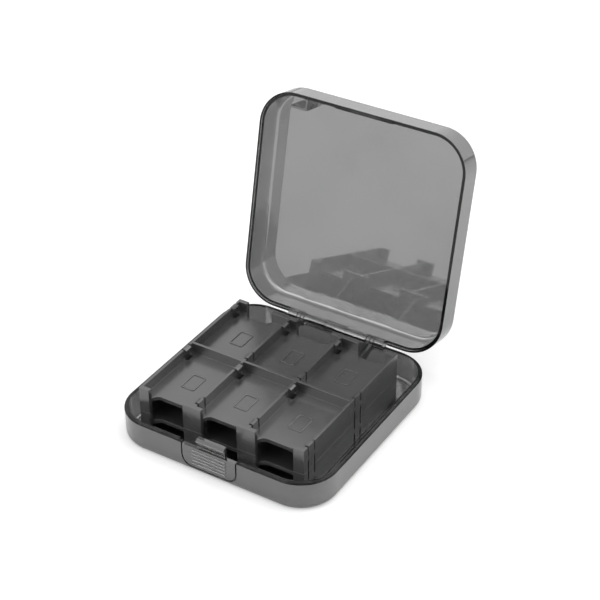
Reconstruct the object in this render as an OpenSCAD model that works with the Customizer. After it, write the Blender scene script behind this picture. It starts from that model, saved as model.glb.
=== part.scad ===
// Game cartridge case. A rounded clamshell of smoky clear plastic holds two double-sided
// trays of six pockets a face. Both trays and the lid turn on one hinge pin at the back,
// like the leaves of a book, and a sprung hook at the front holds the lid shut.
// Millimetres. Origin on the table under the middle of the base, X to the right along
// the front, Y to the back, Z up. The lid is drawn open, as the case is pictured.

/* [Cards] */
// Width of one game card
card_w = 21; // [15:0.5:35]
// Length of one game card
card_l = 31; // [20:0.5:45]
// Thickness of one game card
card_t = 3.3; // [2:0.1:6]
// Play across the width of a card in its pocket
card_side_play = 1.5; // [0.4:0.1:3]
// Play along the length of a card in its pocket
card_end_play = 0.6; // [0.2:0.1:2]
// Depth of a pocket past the thickness of its card
card_depth_play = 1.1; // [0.6:0.1:3]

/* [Trays] */
// Pockets side by side on each face
columns = 3; // [2:1:5]
// Thickness of the walls between the pockets
tray_wall = 1.0; // [0.8:0.1:2]
// Thickness of the floor that both faces share
tray_floor = 1.6; // [1:0.1:3]
// Thickness of the end plates at the front and back of the tray
end_plate = 1.75; // [1:0.05:3]
// Reach of an end plate to the left of its divider
plate_reach_left = 4.4; // [2:0.1:6]
// Reach of an end plate to the right of its divider
plate_reach_right = 3.5; // [2:0.1:6]
// Reach of an end plate in from the outer face of a side wall
corner_plate_reach = 4.4; // [3:0.1:7]
// Width of the back openings next to the side walls
back_opening = 11.7; // [8:0.1:14]
// Depth of the finger notches in the edges of the floor
notch_depth = 4.0; // [2:0.1:6]
// Corner radius of the finger notches
notch_r = 3.0; // [1:0.1:3.5]

/* [Card clips] */
// Width of the sprung finger that holds a card
clip_w = 3.4; // [2:0.1:5]
// Width of the slits that free the finger
clip_slit = 0.8; // [0.5:0.1:1.2]
// Distance from the end of a pocket to the first slit
clip_inset = 1.0; // [0.6:0.1:3]
// Reach of the finger's bead over the card
clip_bead = 0.8; // [0.5:0.05:1.2]
// Width of the moulding window in the floor under each bead
window_w = 1.4; // [0.8:0.1:2]

/* [Case] */
// Thickness of the walls of the base and the lid
wall = 1.6; // [1.2:0.1:2.2]
// Thickness of the bottom of the base and the top of the lid
skin = 1.4; // [1.2:0.1:2.5]
// Corner radius of the outline
corner_r = 15; // [10:0.5:20]
// Radius of the edge round the bottom and round the top
edge_r = 3; // [2.4:0.1:4]
// Room between the trays and each side wall
side_room = 7.65; // [3:0.05:15]
// Room between the trays and the front wall
front_room = 6; // [5:0.5:12]
// Room between the trays and the back wall
back_room = 13.1; // [10:0.1:20]
// Gap under, between and over the trays
tray_gap = 0.25; // [0.2:0.05:1]
// Further room over the upper tray
head_room = 0.05; // [0:0.05:1]
// Gap between the two rims when the lid is shut
rim_gap = 0.3; // [0.2:0.05:0.6]
// Height of the thin lip that stands on the rim of the base
lip_h = 0.9; // [0.5:0.1:1.5]
// Thickness of that lip
lip_t = 0.6; // [0.5:0.05:0.8]

/* [Hinge] */
// Angle of the open lid
open_angle = 102; // [90:1:120]
// Distance of the pin's centre behind the back wall
pin_out = 0.4; // [0.3:0.05:1]
// Radius of the hinge pin
pin_r = 0.8; // [0.6:0.05:1]
// Radial clearance of the pin in its holes
pin_fit = 0.05; // [0.02:0.01:0.09]
// Outer radius of the knuckles
knuckle_r = 1.95; // [1.8:0.05:2.2]
// Clearance of a knuckle from the walls that it turns in
knuckle_gap = 0.3; // [0.2:0.05:0.5]
// Gap between one knuckle and the next along the pin
joint_gap = 0.25; // [0.15:0.05:0.5]
// Width of the middle knuckle of the base
middle_knuckle = 9; // [6:0.5:12]
// Width of each knuckle of the lid
lid_knuckle = 9.4; // [6:0.2:12]
// Width of each outer knuckle of the base
outer_knuckle = 4; // [3:0.1:6]
// Thickness of the arms that carry the trays
arm_t = 1.45; // [1:0.05:2]

/* [Latch] */
// Width of the latch's button in the front wall
button_w = 23; // [18:0.5:30]
// Height of the button's lower edge over the table
button_z = 2.9; // [2.6:0.1:4]
// Radius of the button's lower corners
button_r = 4; // [2:0.5:5]
// Gap round the button
button_gap = 0.6; // [0.3:0.05:0.8]
// Width of the hook
hook_w = 12; // [8:0.5:16]
// Height of the hook over the rim of the base
hook_rise = 3.2; // [2.6:0.1:4]
// Height of the hook's nose
nose_h = 1.3; // [1:0.1:1.6]
// Reach of the hook's nose
nose_reach = 1.0; // [0.8:0.05:1.1]
// Clearance of the hook from the lid
hook_gap = 0.3; // [0.2:0.05:0.4]
// Radius of the latch's pivot bar
pivot_r = 0.9; // [0.7:0.05:1.1]
// Number of grip ribs on the button
grip_ribs = 5; // [3:1:7]

/* [Hidden] */
$fn = 64;
over = 1;
touch = 0.01;
rows = 2;

// one pocket and one tray
pocket_w = card_w + card_side_play;
pocket_l = card_l + card_end_play;
pocket_h = card_t + card_depth_play;
pitch_x = pocket_w + tray_wall;
pitch_y = pocket_l + tray_wall;
tray_w = columns*pitch_x + tray_wall;
tray_d = rows*pocket_l + (rows - 1)*tray_wall + 2*end_plate;
tray_h = 2*pocket_h + tray_floor;

// the case round two trays
case_w = tray_w + 2*side_room + 2*wall;
case_d = tray_d + front_room + back_room + 2*wall;
front_y = -case_d/2;
back_y = case_d/2;
tray_front = front_y + wall + front_room;
tray_back = tray_front + tray_d;
lower_z = skin + tray_gap;
upper_z = lower_z + tray_h + tray_gap;
base_h = lower_z + tray_h;
case_h = upper_z + tray_h + tray_gap + head_room + skin;
lid_z = base_h + rim_gap;

// the hinge line and where each piece sits along the pin
pin_y = back_y + pin_out;
pin_z = base_h;
turn_r = knuckle_r + knuckle_gap;
lid_x = middle_knuckle/2 + joint_gap;
upper_arm_x = lid_x + lid_knuckle + joint_gap;
lower_arm_x = upper_arm_x + arm_t + joint_gap;
outer_x = lower_arm_x + arm_t + joint_gap;
pin_half = outer_x + outer_knuckle;
neck_bottom = pin_z - knuckle_r + touch;
neck_top = base_h + rim_gap/2;
neck_y = back_y - wall - knuckle_gap;
// depth of the knuckles' feet under the pin, and height of the lid's hinge leaves
foot_room = 0.65;
foot_depth = knuckle_r + foot_room;
leaf_h = 2.2;
// shares of a tray's height where an arm leaves it, and the bend in the lower arm
upper_arm_share = 0.85;
lower_arm_share = 0.2;
bend_run = 3;
bend_drop = 0.4;
// clear length at each end of the lip
lip_end = 1;
// height of a bead, which ends over the card, and where its edge lies
bead_h = 0.9*card_depth_play;
bead_edge = 0.45;

// the latch
// the button stops below the rim, because its edge rises as it tips
button_rise = 0.2;
button_top = base_h - button_rise;
hook_t = 1.2;
hook_y = front_y + wall + hook_gap;
hook_top = base_h + hook_rise;
hook_root_h = 4;
hook_root_drop = 0.6;
nose_z = hook_top - nose_h;
nose_y = front_y + wall - nose_reach + hook_gap;
grip_w = 14.6;
grip_r = 0.35;
grip_margin = 1.5;
// the ears that carry the latch's bar, and the webs that join the bar to the button
ear_wall = 0.7;
ear_t = 1.5;
ear_inset = 0.9;
ear_r = pivot_r + ear_wall;
ear_x = button_w/2 - ear_t - ear_inset;
web_t = 2;
pivot_y = front_y + wall + hook_gap + ear_r;
pivot_z = skin + tray_gap + ear_r + button_rise;
// the corner stop of the lid, a thin angle that turns past the upper tray's front edge
stop_left = -case_w/2 + 12;
stop_right = -case_w/2 + 19.4;
stop_t = 0.8;
stop_over_rim = 2.3;
stop_gap = 0.3;
stop_z = base_h + stop_over_rim;
tray_reach = sqrt(pow(pin_y - tray_front, 2) + pow(upper_z + tray_h - pin_z, 2));
stop_y = pin_y - sqrt(pow(tray_reach + stop_gap, 2) - pow(stop_over_rim, 2));

shell_colour = [0.42, 0.43, 0.44, 0.55];
tray_colour = [0.13, 0.13, 0.14];
pin_colour = [0.62, 0.63, 0.65];

// Shapes that repeat

// A bar with its centre on the Z axis line of the hinge, along X from a to b.
module pin_bar(a, b, r) {
    translate([a, pin_y, pin_z]) rotate([0, 90, 0]) cylinder(h = b - a, r = r);
}

// The same bar on both sides of the middle.
module both_sides() {
    children();
    mirror([1, 0, 0]) children();
}

// A cut or a plate given by its lowest and highest corners.
module block(a, b) {
    translate(a) cube([b[0] - a[0], b[1] - a[1], b[2] - a[2]]);
}

// The outline of the case with its corners rounded, as a plate.
module outline_plate(w, d, r, h) {
    block([-w/2 + r, -d/2, 0], [w/2 - r, d/2, h]);
    block([-w/2, -d/2 + r, 0], [w/2, d/2 - r, h]);
    for (sx = [-1, 1], sy = [-1, 1])
        translate([sx*(w/2 - r), sy*(d/2 - r), 0]) cylinder(h = h, r = r);
}

// Half of a dish's section: square at the top, with a rounded lower edge.
module dish_side(half, h, e) {
    translate([0, e]) square([half, h - e]);
    square([half - e, h]);
    translate([half - e, e]) circle(r = e);
}

// A bar of the dish's section, standing along one direction.
module dish_bar(across, along, h, e) {
    rotate([90, 0, 0]) translate([0, 0, -along/2]) linear_extrude(height = along) {
        dish_side(across/2, h, e);
        mirror([1, 0]) dish_side(across/2, h, e);
    }
}

// A solid dish: the outline of the case with its lower edge rounded all round.
module dish(w, d, r, h, e) {
    dish_bar(w, d - 2*r, h, e);
    rotate([0, 0, 90]) dish_bar(d, w - 2*r, h, e);
    for (sx = [-1, 1], sy = [-1, 1])
        translate([sx*(w/2 - r), sy*(d/2 - r), 0])
            rotate_extrude() dish_side(r, h, e);
}

// A hollow dish with walls of even thickness.
module hollow_dish(h) {
    difference() {
        dish(case_w, case_d, corner_r, h, edge_r);
        translate([0, 0, skin])
            dish(case_w - 2*wall, case_d - 2*wall, corner_r - wall, h, edge_r - wall);
    }
}

// The base

// The thin lip inside the rim, which the lid fits over.
module rim_lip() {
    translate([0, 0, base_h - touch]) difference() {
        outline_plate(case_w - 2*wall + 2*lip_t, case_d - 2*wall + 2*lip_t,
                      corner_r - wall + lip_t, lip_h + touch);
        translate([0, 0, -over])
            outline_plate(case_w - 2*wall, case_d - 2*wall, corner_r - wall, lip_h + 2*over);
        // open behind the latch and along the hinge
        block([-button_w/2 - button_gap - lip_end, front_y, -over],
              [button_w/2 + button_gap + lip_end, 0, lip_h + over]);
        block([-pin_half - lip_end, 0, -over], [pin_half + lip_end, back_y, lip_h + over]);
    }
}

// The opening in the front wall that the button fills, cut as deep as the rounded lower edge.
module button_opening() {
    half = button_w/2 + button_gap;
    low = button_z - button_gap;
    r = button_r + button_gap;
    translate([0, front_y - over, 0]) rotate([-90, 0, 0]) mirror([0, 1, 0])
        linear_extrude(height = over + edge_r) {
            translate([-half, low + r]) square([2*half, base_h - low]);
            translate([-half + r, low]) square([2*half - 2*r, base_h]);
            for (s = [-1, 1]) translate([s*(half - r), low + r]) circle(r = r);
        }
}

// The two ears on the floor that the latch's bar turns in.
module latch_ears() {
    both_sides() difference() {
        union() {
            block([ear_x, pivot_y - ear_r, skin - touch], [ear_x + ear_t, pivot_y + ear_r, pivot_z]);
            translate([ear_x, pivot_y, pivot_z]) rotate([0, 90, 0]) cylinder(h = ear_t, r = ear_r);
        }
        translate([ear_x - over, pivot_y, pivot_z]) rotate([0, 90, 0])
            cylinder(h = ear_t + 2*over, r = pivot_r + pin_fit);
    }
}

// One knuckle of the base and the foot that joins it to the back wall.
module base_knuckle(a, b) {
    pin_bar(a, b, knuckle_r);
    block([a, back_y - wall, pin_z - foot_depth], [b, pin_y, pin_z - touch]);
}

module base() {
    color(shell_colour) difference() {
        union() {
            difference() {
                union() {
                    hollow_dish(base_h);
                    rim_lip();
                }
                button_opening();
                // room for the lid's knuckles and for the arms of the trays
                both_sides() {
                    pin_bar(lid_x - joint_gap, outer_x, turn_r);
                    block([upper_arm_x - joint_gap, back_y - wall - over, pin_z - foot_depth],
                          [outer_x, pin_y, base_h + over]);
                }
            }
            base_knuckle(-middle_knuckle/2, middle_knuckle/2);
            both_sides() base_knuckle(outer_x, pin_half);
            latch_ears();
        }
        pin_bar(-pin_half - over, pin_half + over, pin_r + pin_fit);
    }
}

// The lid

// The lid as it lies when it is shut.
module shut_lid() {
    difference() {
        union() {
            difference() {
                translate([0, 0, case_h]) mirror([0, 0, 1]) hollow_dish(case_h - lid_z);
                // the step inside the rim that the lip of the base fits in
                difference() {
                    translate([0, 0, lid_z - over])
                        outline_plate(case_w - 2*wall + 2*lip_t + 2*hook_gap,
                                      case_d - 2*wall + 2*lip_t + 2*hook_gap,
                                      corner_r - wall + lip_t + hook_gap,
                                      lip_h + over);
                    block([-button_w/2 - lip_end, front_y - over, lid_z - 2*over],
                          [button_w/2 + lip_end, 0, lid_z + lip_h + over]);
                    block([-pin_half, 0, lid_z - 2*over],
                          [pin_half, back_y + over, lid_z + lip_h + over]);
                }
                // room for the knuckles of the base and for the arms of the trays
                pin_bar(-middle_knuckle/2 - joint_gap, middle_knuckle/2 + joint_gap, turn_r);
                both_sides() pin_bar(upper_arm_x - joint_gap, pin_half + joint_gap, turn_r);
                // the slot that the hook's nose springs into
                block([-hook_w/2 - hook_gap, front_y + wall - nose_reach - touch, nose_z - hook_gap],
                      [hook_w/2 + hook_gap, front_y + wall + over, hook_top + hook_gap]);
            }
            // the corner stop, grown out of the front wall and the top
            intersection() {
                outline_plate(case_w - wall, case_d - wall, corner_r - wall/2, case_h - skin + touch);
                difference() {
                    block([stop_left, front_y, stop_z], [stop_right, stop_y, case_h]);
                    block([stop_left - over, front_y - over, stop_z - over],
                          [stop_right - stop_t, stop_y - stop_t, case_h + over]);
                }
            }
            both_sides() {
                pin_bar(lid_x, lid_x + lid_knuckle, knuckle_r);
                block([lid_x, back_y - wall, lid_z], [lid_x + lid_knuckle, pin_y, lid_z + leaf_h]);
            }
        }
        pin_bar(-pin_half - over, pin_half + over, pin_r + pin_fit);
    }
}

module lid() {
    color(shell_colour)
        translate([0, pin_y, pin_z]) rotate([-open_angle, 0, 0]) translate([0, -pin_y, -pin_z])
            shut_lid();
}

// The trays

// X of the middle of divider i, counted from the left side wall as 0.
function wall_x(i) = -tray_w/2 + tray_wall/2 + i*pitch_x;
// Y where the pockets of row j begin.
function row_y(j) = tray_front + end_plate + j*pitch_y;

// Slits on both faces that free one finger of a wall, with its first slit at y.
module clip_slits(x, y) {
    for (dy = [0, clip_w + clip_slit])
        for (z = [-over, tray_h - pocket_h])
            block([x - tray_wall, y + dy, z],
                  [x + tray_wall, y + dy + clip_slit, z + pocket_h + over]);
}

// The bead on each face of one finger, on the side of the wall that s points to.
module clip_beads(x, y, s) {
    translate([x + s*(tray_wall/2 - touch), y + clip_slit + clip_w, 0]) rotate([90, 0, 0])
        linear_extrude(height = clip_w)
            for (f = [[0, 1], [tray_h, -1]])
                polygon([[0, f[0]], [s*(clip_bead + touch), f[0] + f[1]*bead_edge*bead_h],
                         [s*(clip_bead + touch), f[0] + f[1]*(1 - bead_edge/2)*bead_h],
                         [0, f[0] + f[1]*bead_h]]);
}

// A finger near the back of the pocket on its left and near the front on its right.
function back_clip_y(j) = row_y(j) + pocket_l - clip_inset - clip_w - 2*clip_slit;
function front_clip_y(j) = row_y(j) + clip_inset;

// The moulding window under the beads of one finger.
module clip_window(x, y, s) {
    translate([x + s*(tray_wall + window_w)/2 - window_w/2, y + clip_slit, -over])
        cube([window_w, clip_w, tray_h + 2*over]);
}

// A finger notch from a to b in the edge of the floor at y. It opens forward if s is -1.
module finger_notch(a, b, y, s) {
    inner = notch_depth - notch_r;
    translate([0, 0, -over]) linear_extrude(height = tray_h + 2*over) {
        translate([a, s < 0 ? y - over : y - inner]) square([b - a, inner + over]);
        translate([a + notch_r, s < 0 ? y - over : y - notch_depth])
            square([b - a - 2*notch_r, notch_depth + over]);
        for (x = [a + notch_r, b - notch_r])
            translate([x, y - s*inner]) circle(r = notch_r);
    }
}

// One double-sided tray with its underside at z = 0.
module pocket_tray() {
    corner = tray_w/2 - corner_plate_reach;
    back_plate = corner - back_opening;
    difference() {
        union() {
            block([-tray_w/2, tray_front, pocket_h], [tray_w/2, tray_back, pocket_h + tray_floor]);
            for (i = [0:columns])
                block([wall_x(i) - tray_wall/2, tray_front, 0],
                      [wall_x(i) + tray_wall/2, tray_back, tray_h]);
            block([-tray_w/2, row_y(1) - tray_wall, 0], [tray_w/2, row_y(1), tray_h]);
            // end plates: at the corners, on each divider, and the wide ones at the back
            for (y = [tray_front, tray_back - end_plate]) both_sides()
                block([-tray_w/2, y, 0], [-tray_w/2 + corner_plate_reach, y + end_plate, tray_h]);
            for (i = [1:columns - 1]) for (y = [tray_front, tray_back - end_plate])
                block([wall_x(i) - plate_reach_left, y, 0],
                      [wall_x(i) + plate_reach_right, y + end_plate, tray_h]);
            block([-back_plate, tray_back - end_plate, 0],
                  [wall_x(1) + plate_reach_right, tray_back, tray_h]);
            block([wall_x(columns - 1) - plate_reach_left, tray_back - end_plate, 0],
                  [back_plate, tray_back, tray_h]);
        }
        // finger notches: one for each pocket
        for (i = [0:columns - 1])
            finger_notch(i == 0 ? -corner : wall_x(i) + plate_reach_right,
                         i == columns - 1 ? corner : wall_x(i + 1) - plate_reach_left, tray_front, -1);
        for (i = [1:columns - 2])
            finger_notch(wall_x(i) + plate_reach_right, wall_x(i + 1) - plate_reach_left,
                         tray_back, 1);
        both_sides() finger_notch(-corner, -back_plate, tray_back, 1);
        for (j = [0:rows - 1]) {
            for (i = [0:columns - 1]) {
                clip_slits(wall_x(i), back_clip_y(j));
                clip_window(wall_x(i), back_clip_y(j), 1);
            }
            for (i = [1:columns]) {
                clip_slits(wall_x(i), front_clip_y(j));
                clip_window(wall_x(i), front_clip_y(j), -1);
            }
        }
    }
    for (j = [0:rows - 1]) {
        for (i = [0:columns - 1]) clip_beads(wall_x(i), back_clip_y(j), 1);
        for (i = [1:columns]) clip_beads(wall_x(i), front_clip_y(j), -1);
    }
}

// An arm from the back of a tray to its eye on the pin. section is its side view.
module arm(x, section) {
    difference() {
        union() {
            translate([x, 0, 0]) rotate([90, 0, 90]) linear_extrude(height = arm_t) polygon(section);
            pin_bar(x, x + arm_t, knuckle_r);
        }
        pin_bar(x - over, x + arm_t + over, pin_r + pin_fit);
    }
}

module upper_tray() {
    arm_top = upper_z + upper_arm_share*tray_h;
    color(tray_colour) {
        translate([0, 0, upper_z]) pocket_tray();
        both_sides() arm(upper_arm_x, [
            [tray_back - end_plate, upper_z], [tray_back, upper_z],
            [pin_y, neck_bottom], [pin_y, neck_top], [neck_y, neck_top],
            [tray_back, arm_top], [tray_back - end_plate, arm_top]]);
    }
}

module lower_tray() {
    arm_bottom = lower_z + lower_arm_share*tray_h;
    color(tray_colour) {
        translate([0, 0, lower_z]) pocket_tray();
        both_sides() arm(lower_arm_x, [
            [tray_back - end_plate, arm_bottom], [tray_back, arm_bottom],
            [neck_y, neck_bottom], [pin_y, neck_bottom], [pin_y, neck_top],
            [neck_y, neck_top], [neck_y - bend_run, base_h - bend_drop],
            [tray_back - end_plate, base_h - bend_drop]]);
    }
}

// The latch

// The button's outline, standing up, as a plate of the wall's thickness.
module button_plate() {
    half = button_w/2;
    translate([0, front_y, 0]) rotate([-90, 0, 0]) mirror([0, 1, 0])
        linear_extrude(height = wall) {
            translate([-half, button_z + button_r]) square([2*half, button_top - button_z - button_r]);
            translate([-half + button_r, button_z])
                square([2*half - 2*button_r, button_top - button_z]);
            for (s = [-1, 1])
                translate([s*(half - button_r), button_z + button_r]) circle(r = button_r);
        }
}

module latch() {
    color(shell_colour) {
        button_plate();
        // grip ribs across the face
        for (i = [0:grip_ribs - 1])
            translate([-grip_w/2, front_y, button_z + grip_margin
                       + i*(button_top - button_z - 2*grip_margin)/(grip_ribs - 1)])
                rotate([0, 90, 0]) cylinder(h = grip_w, r = grip_r);
        // the hook, its root on the button and its nose
        block([-hook_w/2, front_y + wall - touch, button_top - hook_root_h],
              [hook_w/2, hook_y + touch, button_top - hook_root_drop]);
        block([-hook_w/2, hook_y, button_top - hook_root_h], [hook_w/2, hook_y + hook_t, hook_top]);
        translate([-hook_w/2, 0, 0]) rotate([90, 0, 90]) linear_extrude(height = hook_w)
            polygon([[hook_y + touch, nose_z], [nose_y, nose_z], [nose_y, nose_z + nose_h/2],
                     [hook_y + touch, hook_top]]);
        // the pivot bar and the two webs that carry it
        translate([-ear_x - ear_t, pivot_y, pivot_z]) rotate([0, 90, 0])
            cylinder(h = 2*(ear_x + ear_t), r = pivot_r);
        both_sides()
            block([ear_x - joint_gap - web_t, front_y + wall - touch, pivot_z - pivot_r/2],
                  [ear_x - joint_gap, pivot_y, pivot_z + pivot_r/2]);
    }
}

// The hinge pin

module hinge_pin() {
    color(pin_colour) pin_bar(-pin_half, pin_half, pin_r);
}

base();
lid();
upper_tray();
lower_tray();
latch();
hinge_pin();
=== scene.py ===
import bmesh
import bpy
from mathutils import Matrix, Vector


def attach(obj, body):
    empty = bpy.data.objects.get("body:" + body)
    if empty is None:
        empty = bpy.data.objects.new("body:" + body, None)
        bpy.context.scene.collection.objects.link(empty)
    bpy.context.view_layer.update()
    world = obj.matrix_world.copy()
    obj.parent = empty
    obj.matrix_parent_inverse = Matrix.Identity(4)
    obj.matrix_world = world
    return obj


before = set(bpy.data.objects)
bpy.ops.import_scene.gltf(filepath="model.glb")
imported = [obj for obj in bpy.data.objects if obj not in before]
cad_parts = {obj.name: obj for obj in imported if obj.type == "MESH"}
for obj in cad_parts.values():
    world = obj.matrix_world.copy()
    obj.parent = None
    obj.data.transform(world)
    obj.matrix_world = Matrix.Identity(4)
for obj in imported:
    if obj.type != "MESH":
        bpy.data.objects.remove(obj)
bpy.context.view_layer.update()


# Base and lid
# The two halves of the case are injection moulded in smoky clear polystyrene and leave the mould
# polished. They are joined by the steel wire through their knuckles. Their rims are dull, and
# look dark because the eye follows the wall down through them; that darkness is painted shade
# in their colour.

smoke_light = (0.36, 0.36, 0.36, 1)
smoke_dark = (0.31, 0.31, 0.31, 1)
smoke_cloud = 0.03
smoke_depth = 400
shell_clearness = 0.95
shell_ior = 1.45
shell_patch = 0.012
shell_roughness = (0.02, 0.05)
skin_ior = 2.1
skin_roughness = 0.04
sink_size = 0.03
sink_depth = 0.00004
sink_strength = 0.2
# Painted shade: the rims' colour is darkened for the dark seen down through the wall.
rim_painted_shade = (0.14, 0.14, 0.14, 1)
rim_flatness = 0.8
base_rim = (0, 0, 0.0125)
base_rim_faces = (0, 0, 1)
base_rim_depth = 0.00055
lid_rim = (0, 0.045987, 0.011925)
lid_rim_faces = (0, -0.97815, 0.20791)
lid_rim_depth = 0.0013
noise_span = (0.3, 0.7)


def new_finish(name):
    """An empty node material with its surface shader linked to the output."""
    finish = bpy.data.materials.new(name)
    finish.use_nodes = True
    tree = finish.node_tree
    tree.nodes.clear()
    output = tree.nodes.new("ShaderNodeOutputMaterial")
    shader = tree.nodes.new("ShaderNodeBsdfPrincipled")
    tree.links.new(shader.outputs["BSDF"], output.inputs["Surface"])
    return finish, tree, shader, output


def bring(tree, value, socket):
    """Set a socket to a plain value, or link another node's output to it."""
    if isinstance(value, bpy.types.NodeSocket):
        tree.links.new(value, socket)
    else:
        socket.default_value = value


def number(tree, operation, *values):
    """One step of arithmetic on numbers, which are plain or other nodes' outputs."""
    step = tree.nodes.new("ShaderNodeMath")
    step.operation = operation
    for value, socket in zip(values, step.inputs):
        bring(tree, value, socket)
    return step.outputs["Value"]


def vector(tree, operation, *values, result="Vector"):
    """One step of arithmetic on vectors. The result Value is for a length or a dot product."""
    step = tree.nodes.new("ShaderNodeVectorMath")
    step.operation = operation
    for value, socket in zip(values, step.inputs):
        bring(tree, value, socket)
    return step.outputs[result]


def ranged(tree, value, low, high, start=0, end=1, clamp=True):
    """The value, with its stretch from start to end brought to the range low to high."""
    spread = tree.nodes.new("ShaderNodeMapRange")
    spread.clamp = clamp
    spread.inputs["From Min"].default_value = start
    spread.inputs["From Max"].default_value = end
    spread.inputs["To Min"].default_value = low
    spread.inputs["To Max"].default_value = high
    tree.links.new(value, spread.inputs["Value"])
    return spread.outputs["Result"]


def mottle(tree, size, low, high, detail=3):
    """Soft noise over the piece's own coordinates, brought to the range low to high."""
    place = tree.nodes.new("ShaderNodeTexCoord")
    noise = tree.nodes.new("ShaderNodeTexNoise")
    noise.inputs["Scale"].default_value = 1 / size
    noise.inputs["Detail"].default_value = detail
    tree.links.new(place.outputs["Object"], noise.inputs["Vector"])
    return ranged(tree, noise.outputs["Fac"], low, high, *noise_span, clamp=False)


def two_tones(tree, share, first, second):
    """A colour between two, by the share. Each is a colour or another node's output."""
    mix = tree.nodes.new("ShaderNodeMix")
    mix.data_type = "RGBA"
    first_colour, second_colour, mixed_colour = mix.inputs[6], mix.inputs[7], mix.outputs[2]
    bring(tree, share, mix.inputs["Factor"])
    bring(tree, first, first_colour)
    bring(tree, second, second_colour)
    return mixed_colour


def raised_by(tree, shader, height, depth, strength):
    """A bump of the given depth in metres on the shader's normal."""
    bump = tree.nodes.new("ShaderNodeBump")
    bump.inputs["Distance"].default_value = depth
    bump.inputs["Strength"].default_value = strength
    tree.links.new(height, bump.inputs["Height"])
    tree.links.new(bump.outputs["Normal"], shader.inputs["Normal"])
    return bump


def off_the_rim(tree, middle, facing, depth):
    """0 on the flat faces of a rim and 1 elsewhere. They face one way, and lie no further than
    the depth from a plane through the middle."""
    place = tree.nodes.new("ShaderNodeTexCoord")
    from_middle = vector(tree, "SUBTRACT", place.outputs["Object"], middle)
    height = vector(tree, "DOT_PRODUCT", from_middle, facing, result="Value")
    turned = vector(tree, "DOT_PRODUCT", place.outputs["Normal"], facing, result="Value")
    near = number(tree, "COMPARE", height, 0, depth)
    flat = number(tree, "GREATER_THAN", turned, rim_flatness)
    return number(tree, "SUBTRACT", 1, number(tree, "MULTIPLY", near, flat))


def smoky_clear_finish(name, rim=None):
    """Polished see-through plastic, with a dull rim where its place is given, darkened there by
    painted shade.
    """
    finish, tree, shader, output = new_finish(name)
    smoke_tone = two_tones(tree, mottle(tree, smoke_cloud, 0, 1), smoke_dark, smoke_light)
    shader.inputs["Coat Weight"].default_value = 1
    if rim:
        clear = off_the_rim(tree, *rim)
        tree.links.new(clear, shader.inputs["Coat Weight"])
        # Painted shade: the rim faces take the darker colour.
        smoke_tone = two_tones(tree, clear, rim_painted_shade, smoke_tone)
    tree.links.new(smoke_tone, shader.inputs["Base Color"])
    tree.links.new(mottle(tree, shell_patch, *shell_roughness), shader.inputs["Roughness"])
    shader.inputs["IOR"].default_value = shell_ior
    shader.inputs["Transmission Weight"].default_value = shell_clearness
    shader.inputs["Coat IOR"].default_value = skin_ior
    shader.inputs["Coat Roughness"].default_value = skin_roughness
    raised_by(tree, shader, mottle(tree, sink_size, 0, 1, detail=0), sink_depth, sink_strength)
    smoke = tree.nodes.new("ShaderNodeVolumeAbsorption")
    smoke.inputs["Color"].default_value = (0, 0, 0, 1)
    smoke.inputs["Density"].default_value = smoke_depth
    tree.links.new(smoke.outputs["Volume"], output.inputs["Volume"])
    return finish


def dressed(name, finish):
    """A node of the solids, with its finish on it."""
    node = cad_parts[name]
    node.data.materials.clear()
    node.data.materials.append(finish)
    return node


shell_rims = {
    "base": (base_rim, base_rim_faces, base_rim_depth),
    "lid": (lid_rim, lid_rim_faces, lid_rim_depth),
}
for name, rim in shell_rims.items():
    shell = dressed(name, smoky_clear_finish("smoky_" + name, rim))


# Latch
# The button, its hook and its pivot bar are one moulding in the same plastic. The bar snaps into
# the two ears of the base, and the button fills the opening in the front wall.

latch = dressed("latch", smoky_clear_finish("smoky_latch"))


# Trays
# Each tray is one opaque moulding in near-black polystyrene with a satin skin. It has six card
# pockets on each face and two arms with eyes that the hinge wire passes through.

tray_black = (0.042, 0.042, 0.042, 1)
tray_charcoal = (0.054, 0.054, 0.054, 1)
tray_cloud = 0.015
tray_ior = 2.1
tray_patch = 0.004
tray_roughness = (0.2, 0.26)
tray_grain = 0.002
tray_grain_depth = 0.000008
tray_grain_strength = 0.3
tray_edge_round = 0.0002
tray_edge_samples = 6


def satin_black_finish():
    """Satin plastic whose edges are rounded as the mould leaves them."""
    finish, tree, shader, _ = new_finish("satin_black_plastic")
    tone = two_tones(tree, mottle(tree, tray_cloud, 0, 1), tray_black, tray_charcoal)
    tree.links.new(tone, shader.inputs["Base Color"])
    tree.links.new(mottle(tree, tray_patch, *tray_roughness), shader.inputs["Roughness"])
    shader.inputs["IOR"].default_value = tray_ior
    grain = mottle(tree, tray_grain, 0, 1, detail=0)
    bump = raised_by(tree, shader, grain, tray_grain_depth, tray_grain_strength)
    edge = tree.nodes.new("ShaderNodeBevel")
    edge.samples = tray_edge_samples
    edge.inputs["Radius"].default_value = tray_edge_round
    tree.links.new(edge.outputs["Normal"], bump.inputs["Normal"])
    return finish


satin_black = satin_black_finish()
for name in ("upper_tray", "lower_tray"):
    tray = dressed(name, satin_black)


# Card marks on the tray floors
# Every pocket has a plain raised outline of a card on its floor. It is part of the tray's
# moulding, a little smoother than the floor, and its paler colour is painted highlight for the
# light its edges catch.

mark_width = 0.006
mark_length = 0.009
mark_line = 0.00055
mark_height = 0.0004
mark_root = 0.0001
mark_round = 0.00012
mark_round_steps = 2
mark_corner = 0.0009
mark_corner_steps = 4
round_profile = 0.5
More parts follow.
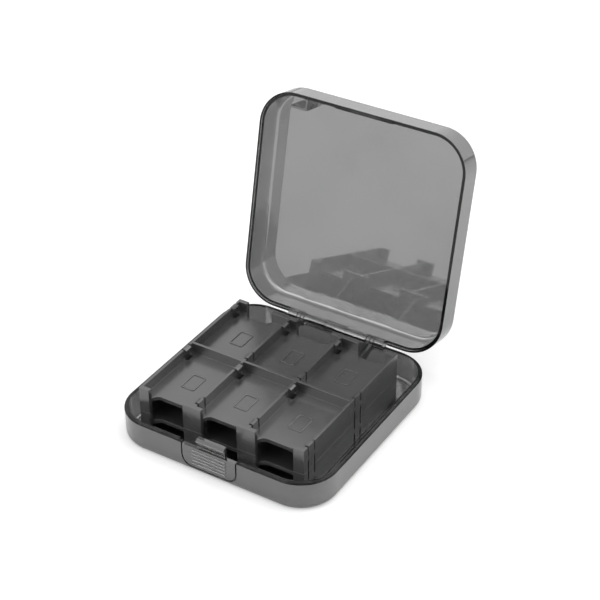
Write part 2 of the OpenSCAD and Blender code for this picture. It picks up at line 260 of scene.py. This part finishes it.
# Painted highlight: the marks' colours are paler than the floor's, for the light their edges
# catch.
mark_dark_painted_highlight = (0.055, 0.055, 0.055, 1)
mark_pale_painted_highlight = (0.075, 0.075, 0.075, 1)
mark_cloud = 0.002
mark_patch = 0.003
mark_roughness = (0.14, 0.2)
mark_grain = 0.0008
mark_grain_depth = 0.000005
mark_grain_strength = 0.3
pocket_pitch_x = 0.0235
pocket_columns = (-1, 0, 1)
pocket_rows_y = (-0.01985, 0.01275)
lower_floor = (0.00605, 0.00765)
upper_floor = (0.0167, 0.0183)


def painted_highlight_mark_finish():
    """The trays' plastic on the card marks, smoother than the floor, with a paler colour that is
    painted highlight.
    """
    finish, tree, shader, _ = new_finish("mark_plastic_painted_highlight")
    # Painted highlight: the paler tone of the marks.
    tone = two_tones(tree, mottle(tree, mark_cloud, 0, 1), mark_dark_painted_highlight, mark_pale_painted_highlight)
    tree.links.new(tone, shader.inputs["Base Color"])
    tree.links.new(mottle(tree, mark_patch, *mark_roughness), shader.inputs["Roughness"])
    shader.inputs["IOR"].default_value = tray_ior
    grain = mottle(tree, mark_grain, 0, 1, detail=1)
    raised_by(tree, shader, grain, mark_grain_depth, mark_grain_strength)
    return finish


painted_highlight_mark = painted_highlight_mark_finish()


def add_card_mark(marks, middle, up):
    """Add one raised outline, with its root at the middle. It rises where up is 1, and hangs
    where up is -1."""
    one = bmesh.new()
    bmesh.ops.create_grid(one, x_segments=1, y_segments=1, size=0.5)
    bmesh.ops.scale(one, vec=(mark_width, mark_length, 1), verts=one.verts)
    bmesh.ops.bevel(
        one, geom=one.verts[:], affect="VERTICES", offset=mark_corner,
        segments=mark_corner_steps, profile=round_profile, material=-1,
    )
    inside = one.faces[:]
    bmesh.ops.inset_region(
        one, faces=inside, thickness=mark_line, use_boundary=True, use_even_offset=True,
    )
    bmesh.ops.delete(one, geom=inside, context="FACES_ONLY")
    raised = bmesh.ops.extrude_face_region(one, geom=one.faces[:], use_keep_orig=True)
    top = [v for v in raised["geom"] if isinstance(v, bmesh.types.BMVert)]
    bmesh.ops.translate(one, vec=(0, 0, up * mark_height), verts=top)
    rims = [
        e for e in one.edges
        if e.verts[0] in top and e.verts[1] in top and e.calc_face_angle(0) > 1
    ]
    bmesh.ops.bevel(
        one, geom=rims, affect="EDGES", offset=mark_round,
        segments=mark_round_steps, profile=round_profile, material=-1,
    )
    bmesh.ops.translate(one, vec=middle, verts=one.verts)
    bmesh.ops.recalc_face_normals(one, faces=one.faces)
    part = bpy.data.meshes.new("one_mark")
    one.to_mesh(part)
    one.free()
    marks.from_mesh(part)
    bpy.data.meshes.remove(part)


def new_piece(name, bm):
    """An object at the origin, made from a bmesh that isn't needed afterwards."""
    mesh = bpy.data.meshes.new(name)
    bm.to_mesh(mesh)
    bm.free()
    piece = bpy.data.objects.new(name, mesh)
    bpy.context.scene.collection.objects.link(piece)
    return piece


def card_marks(tray_name, floor):
    """The marks on both faces of a tray's floor, as one piece that turns with the tray."""
    bm = bmesh.new()
    for row in pocket_rows_y:
        for column in pocket_columns:
            for z, up in ((floor[0], -1), (floor[1], 1)):
                add_card_mark(bm, (column * pocket_pitch_x, row, z - up * mark_root), up)
    marks = new_piece(tray_name + "_card_marks", bm)
    marks.data.materials.append(painted_highlight_mark)
    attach(marks, tray_name)


card_marks("upper_tray", upper_floor)
card_marks("lower_tray", lower_floor)


# Hinge pin
# A length of drawn steel wire, pushed through the knuckles of the base and the lid and the eyes
# of the four arms.

wire_steel = (0.58, 0.59, 0.61, 1)
wire_shadow = (0.42, 0.43, 0.45, 1)
draw_line_scale = 6000
draw_line_stretch = (0.02, 1, 1)
draw_line_depth = 0.00001
draw_line_strength = 0.3
wire_patch = 0.002
wire_roughness = (0.22, 0.34)


def drawn_wire_finish():
    """Bright steel with the long fine lines that the drawing die leaves."""
    finish, tree, shader, _ = new_finish("drawn_steel_wire")
    place = tree.nodes.new("ShaderNodeTexCoord")
    stretch = tree.nodes.new("ShaderNodeMapping")
    stretch.inputs["Scale"].default_value = draw_line_stretch
    noise = tree.nodes.new("ShaderNodeTexNoise")
    noise.inputs["Scale"].default_value = draw_line_scale
    tree.links.new(place.outputs["Object"], stretch.inputs["Vector"])
    tree.links.new(stretch.outputs["Vector"], noise.inputs["Vector"])
    lines = noise.outputs["Fac"]
    tone = two_tones(tree, lines, wire_shadow, wire_steel)
    tree.links.new(tone, shader.inputs["Base Color"])
    shader.inputs["Metallic"].default_value = 1
    tree.links.new(mottle(tree, wire_patch, *wire_roughness), shader.inputs["Roughness"])
    raised_by(tree, shader, lines, draw_line_depth, draw_line_strength)
    return finish


pin = dressed("hinge_pin", drawn_wire_finish())


# Table and room
# A pale seamless sheet under and around the case, a white room, one broad lamp overhead to the
# right and a weaker one in front to the left.

sheet_half = 3.0
sheet_white = 0.86
sheet_roughness = 0.9
near_glow = 0.34
far_glow = 0.6
glow_reach = (0.3, 1.5)
shaded_middle = (0, -0.0035, 0)
shaded_half = (0.036, 0.034, 1)
shade_edge = 0.004
room_light = 0.5
# Each lamp's name, place, aim, side and watts
lamps = (
    ("overhead_lamp", (0.32, 0.2, 0.95), (0, 0, 0.02), 1.3, 7.6),
    ("front_lamp", (-0.47, -0.81, 0.6), (0, 0, 0.03), 0.7, 3.0),
)


def seen_directly(tree):
    """1 for rays from the camera, and for those that gloss or clear plastic sends on."""
    path = tree.nodes.new("ShaderNodeLightPath")
    first = number(tree, "MAXIMUM", path.outputs["Is Camera Ray"], path.outputs["Is Glossy Ray"])
    return number(tree, "MAXIMUM", first, path.outputs["Is Transmission Ray"])


def off_the_trays(tree, place):
    """0 straight under the trays, where their shadow lies on the sheet, and 1 past its edge."""
    from_middle = vector(tree, "SUBTRACT", place, shaded_middle)
    apart = vector(tree, "ABSOLUTE", from_middle)
    past_edge = tree.nodes.new("ShaderNodeSeparateXYZ")
    tree.links.new(vector(tree, "SUBTRACT", apart, shaded_half), past_edge.inputs["Vector"])
    furthest = number(tree, "MAXIMUM", past_edge.outputs["X"], past_edge.outputs["Y"])
    return ranged(tree, furthest, 0, 1, end=shade_edge)


def paper_finish():
    """Pale paper that glows for the camera, and for what clear plastic shows of it. The glow
    is stronger far away, where the lamps don't reach."""
    finish, tree, shader, output = new_finish("pale_paper")
    shader.inputs["Base Color"].default_value = (sheet_white, sheet_white, sheet_white, 1)
    shader.inputs["Roughness"].default_value = sheet_roughness
    shader.inputs["Specular IOR Level"].default_value = 0
    path = tree.nodes.new("ShaderNodeLightPath")
    place = tree.nodes.new("ShaderNodeTexCoord").outputs["Object"]
    lit = off_the_trays(tree, place)
    through = number(tree, "MULTIPLY", lit, path.outputs["Is Transmission Ray"])
    seen = number(tree, "MAXIMUM", path.outputs["Is Camera Ray"], through)
    away = vector(tree, "LENGTH", place, result="Value")
    glow_there = ranged(tree, away, near_glow, far_glow, *glow_reach)
    glow = tree.nodes.new("ShaderNodeEmission")
    tree.links.new(number(tree, "MULTIPLY", seen, glow_there), glow.inputs["Strength"])
    both = tree.nodes.new("ShaderNodeAddShader")
    tree.links.new(shader.outputs["BSDF"], both.inputs[0])
    tree.links.new(glow.outputs["Emission"], both.inputs[1])
    tree.links.new(both.outputs["Shader"], output.inputs["Surface"])
    return finish


sheet_bm = bmesh.new()
bmesh.ops.create_grid(sheet_bm, x_segments=1, y_segments=1, size=sheet_half)
sheet = new_piece("table_sheet", sheet_bm)
sheet.data.materials.append(paper_finish())

world = bpy.data.worlds.new("white_room")
bpy.context.scene.world = world
world.use_nodes = True
room = world.node_tree
room.nodes.clear()
room_output = room.nodes.new("ShaderNodeOutputWorld")
room_glow = room.nodes.new("ShaderNodeBackground")
room_glow.inputs["Color"].default_value = (1, 1, 1, 1)
room.links.new(ranged(room, seen_directly(room), room_light, 1), room_glow.inputs["Strength"])
room.links.new(room_glow.outputs["Background"], room_output.inputs["Surface"])


def softbox(name, place, aim, side, watts):
    """A square lamp that hangs at a place and faces the aim."""
    lamp = bpy.data.lights.new(name, "AREA")
    lamp.shape = "SQUARE"
    lamp.size = side
    lamp.energy = watts
    holder = bpy.data.objects.new(name, lamp)
    bpy.context.scene.collection.objects.link(holder)
    holder.location = place
    holder.rotation_mode = "QUATERNION"
    holder.rotation_quaternion = (Vector(aim) - Vector(place)).to_track_quat("-Z", "Y")


for lamp in lamps:
    softbox(*lamp)


# Camera
# It stands where the picture of the case was taken from, to the right of the front and above.

camera_place = (0.27195, -0.41806, 0.39300)
camera_turn = (0.971604, 0.005641, 0.553612)
camera_lens = 99.23
camera_sensor = 36
camera_sight = (0.01, 20)

camera_data = bpy.data.cameras.new("camera")
camera_data.sensor_width = camera_sensor
camera_data.lens = camera_lens
camera_data.clip_start, camera_data.clip_end = camera_sight
camera = bpy.data.objects.new("camera", camera_data)
bpy.context.scene.collection.objects.link(camera)
camera.location = camera_place
camera.rotation_euler = camera_turn
bpy.context.scene.camera = camera
bpy.context.scene.view_settings.view_transform = "Standard"
